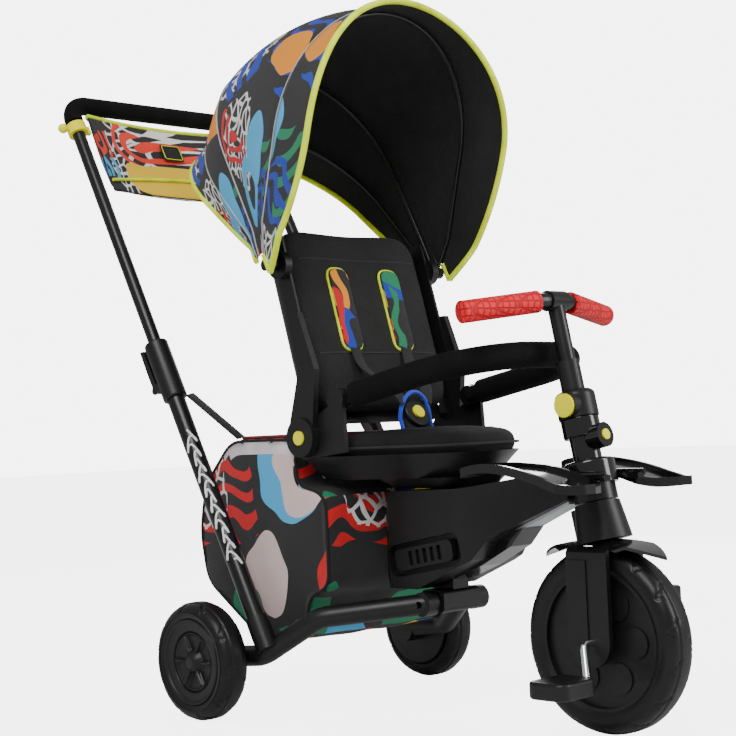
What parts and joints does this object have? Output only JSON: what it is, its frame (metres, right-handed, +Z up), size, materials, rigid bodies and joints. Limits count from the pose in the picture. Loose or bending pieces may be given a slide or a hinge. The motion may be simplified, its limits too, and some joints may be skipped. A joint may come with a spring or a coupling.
{
  "type": "child's tricycle",
  "caption": "Child's push tricycle with a telescoping parent handle, reclining seat, folding canopy, bumper bar, storage bag, footrests and pedals on the front wheel.",
  "frame": {"origin": "on the floor, below the middle of the tricycle's overall box", "axes": "+Z up, -Y forward (the way the child faces), +X to the child's left"},
  "size_m": [0.518, 1.0507, 1.0286],
  "materials": {
    "tyre": "moulded EVA rubber",
    "wheel_plastic": "moulded black",
    "frame_black": "satin moulded black",
    "steel_black": "black powder coat",
    "silver": "silver paint",
    "gloss_black": "gloss",
    "chrome": "bright",
    "zinc": "zinc",
    "nylon": "natural nylon",
    "coral_rubber": "textured coral red",
    "yellow_plastic": "bright yellow",
    "foam": "closed-cell foam",
    "black_fabric": "woven polyester",
    "print_fabric": "woven polyester with a colourful abstract print"
  },
  "bodies": {
    "frame": {"rear_legs": "frame_black", "main_frame": "steel_black", "bushes": "nylon", "pins": "zinc", "housing_right": "frame_black", "housing_left": "frame_black", "silver_strip": "silver", "belly_cover": "gloss_black", "footrest_bracket": "gloss_black", "lower_poles": "steel_black", "pole_clamps": "frame_black", "seat_pan": "frame_black", "seat_cushion": "black_fabric", "seat_struts": "frame_black", "harness_buckle": "frame_black", "storage_bag": "print_fabric"},
    "latch": {"latch_grips": "frame_black"},
    "footrest_right": {"footrest_right": "gloss_black"},
    "footrest_left": {"footrest_left": "gloss_black"},
    "steering": {"fork": "frame_black", "fender": "gloss_black", "steerer_tube": "zinc", "column_base": "gloss_black", "column_body": "frame_black", "stem_tube": "steel_black", "handlebar": "steel_black", "handlebar_grips": "coral_rubber"},
    "steering_button": {"steering_button": "yellow_plastic"},
    "front_button": {"front_button": "yellow_plastic"},
    "front_wheel": {"front_tyre": "tyre", "front_hub": "wheel_plastic", "crank": "chrome"},
    "pedal_right": {"pedal_right": "frame_black"},
    "pedal_left": {"pedal_left": "frame_black"},
    "rear_wheel_right": {"rear_tyre_right": "tyre", "rear_hub_right": "wheel_plastic"},
    "rear_wheel_left": {"rear_tyre_left": "tyre", "rear_hub_left": "wheel_plastic"},
    "push_handle": {"handle_tube": "steel_black", "handle_foam": "foam", "pouch_clips": "yellow_plastic", "parent_pouch": "print_fabric"},
    "clamp_lever_right": {"clamp_lever_right": "frame_black"},
    "clamp_lever_left": {"clamp_lever_left": "frame_black"},
    "bumper": {"bumper_bar": "steel_black", "bumper_foam": "foam"},
    "buckle_button": {"buckle_button": "yellow_plastic"},
    "backrest": {"backrest_shell": "frame_black", "backrest_pad": "black_fabric", "backrest_arms": "frame_black", "shoulder_pads": "print_fabric", "harness_webbing": "black_fabric", "canopy_bow_rear": "steel_black", "canopy_rear_panel": "print_fabric"},
    "hinge_button_right": {"hinge_button_right": "yellow_plastic"},
    "hinge_button_left": {"hinge_button_left": "yellow_plastic"},
    "canopy_middle": {"canopy_bow_middle": "steel_black", "canopy_front_panel": "print_fabric"},
    "canopy_front": {"canopy_bow_front": "steel_black", "canopy_visor": "print_fabric"}
  },
  "joints": [
    {"name": "steering", "type": "hinge", "parent": "frame", "child": "steering", "pos_m": [0, -0.426, 0.122], "axis": [0, 0.1994, 0.9799], "range_deg": [-35, 35]},
    {"name": "front_wheel_spin", "type": "hinge", "parent": "steering", "child": "front_wheel", "pos_m": [0, -0.398, 0.122], "axis": [1, 0, 0], "continuous": true},
    {"name": "pedal_right_spin", "type": "hinge", "parent": "front_wheel", "child": "pedal_right", "pos_m": [0, -0.41283, 0.07635], "axis": [1, 0, 0], "continuous": true},
    {"name": "pedal_left_spin", "type": "hinge", "parent": "front_wheel", "child": "pedal_left", "pos_m": [0, -0.38317, 0.16765], "axis": [1, 0, 0], "continuous": true},
    {"name": "rear_wheel_right_spin", "type": "hinge", "parent": "frame", "child": "rear_wheel_right", "pos_m": [0, 0.159, 0.085], "axis": [1, 0, 0], "continuous": true},
    {"name": "rear_wheel_left_spin", "type": "hinge", "parent": "frame", "child": "rear_wheel_left", "pos_m": [0, 0.159, 0.085], "axis": [1, 0, 0], "continuous": true},
    {"name": "handle_slide", "type": "slide", "parent": "frame", "child": "push_handle", "axis": [0, 0.4648, 0.8854], "range_m": [-0.16, 0]},
    {"name": "clamp_lever_right_open", "type": "hinge", "parent": "frame", "child": "clamp_lever_right", "pos_m": [-0.193, 0.28669, 0.48067], "axis": [-1, 0, 0], "range_deg": [0, 65]},
    {"name": "clamp_lever_left_open", "type": "hinge", "parent": "frame", "child": "clamp_lever_left", "pos_m": [0.193, 0.28669, 0.48067], "axis": [-1, 0, 0], "range_deg": [0, 65]},
    {"name": "backrest_recline", "type": "hinge", "parent": "frame", "child": "backrest", "pos_m": [0, 0.01, 0.4], "axis": [-1, 0, 0], "range_deg": [0, 12], "deforming": ["harness_webbing"]},
    {"name": "canopy_middle_fold", "type": "hinge", "parent": "backrest", "child": "canopy_middle", "pos_m": [0, 0.045, 0.65], "axis": [-1, 0, 0], "range_deg": [0, 12], "deforming": ["canopy_front_panel", "canopy_rear_panel"]},
    {"name": "canopy_front_fold", "type": "hinge", "parent": "canopy_middle", "child": "canopy_front", "pos_m": [0, 0.045, 0.65], "axis": [-1, 0, 0], "range_deg": [0, 38]},
    {"name": "bumper_swing", "type": "hinge", "parent": "frame", "child": "bumper", "pos_m": [0, -0.051, 0.453], "axis": [-1, 0, 0], "range_deg": [0, 60]},
    {"name": "footrest_right_fold", "type": "hinge", "parent": "frame", "child": "footrest_right", "pos_m": [-0.042, -0.384, 0.338], "axis": [0, 1, 0], "range_deg": [0, 60]},
    {"name": "footrest_left_fold", "type": "hinge", "parent": "frame", "child": "footrest_left", "pos_m": [0.042, -0.384, 0.338], "axis": [0, -1, 0], "range_deg": [0, 60]},
    {"name": "latch_pull", "type": "slide", "parent": "frame", "child": "latch", "axis": [0, 0.9848, -0.1736], "range_m": [0, 0.01], "stiffness_N_per_m": 200},
    {"name": "steering_button_press", "type": "slide", "parent": "steering", "child": "steering_button", "axis": [1, 0, 0], "range_m": [0, 0.003], "stiffness_N_per_m": 400},
    {"name": "front_button_press", "type": "slide", "parent": "steering", "child": "front_button", "axis": [0, 0.9799, -0.1994], "range_m": [0, 0.003], "stiffness_N_per_m": 400},
    {"name": "hinge_button_right_press", "type": "slide", "parent": "backrest", "child": "hinge_button_right", "axis": [1, 0, 0], "range_m": [0, 0.003], "stiffness_N_per_m": 400},
    {"name": "hinge_button_left_press", "type": "slide", "parent": "backrest", "child": "hinge_button_left", "axis": [-1, 0, 0], "range_m": [0, 0.003], "stiffness_N_per_m": 400},
    {"name": "buckle_button_press", "type": "slide", "parent": "frame", "child": "buckle_button", "axis": [0, 0.867, -0.4983], "range_m": [0, 0.002], "stiffness_N_per_m": 400}
  ],
  "couplings": [
    {"joint": "canopy_middle_fold", "follows": "canopy_front_fold", "ratio": 0.31579}
  ]
}
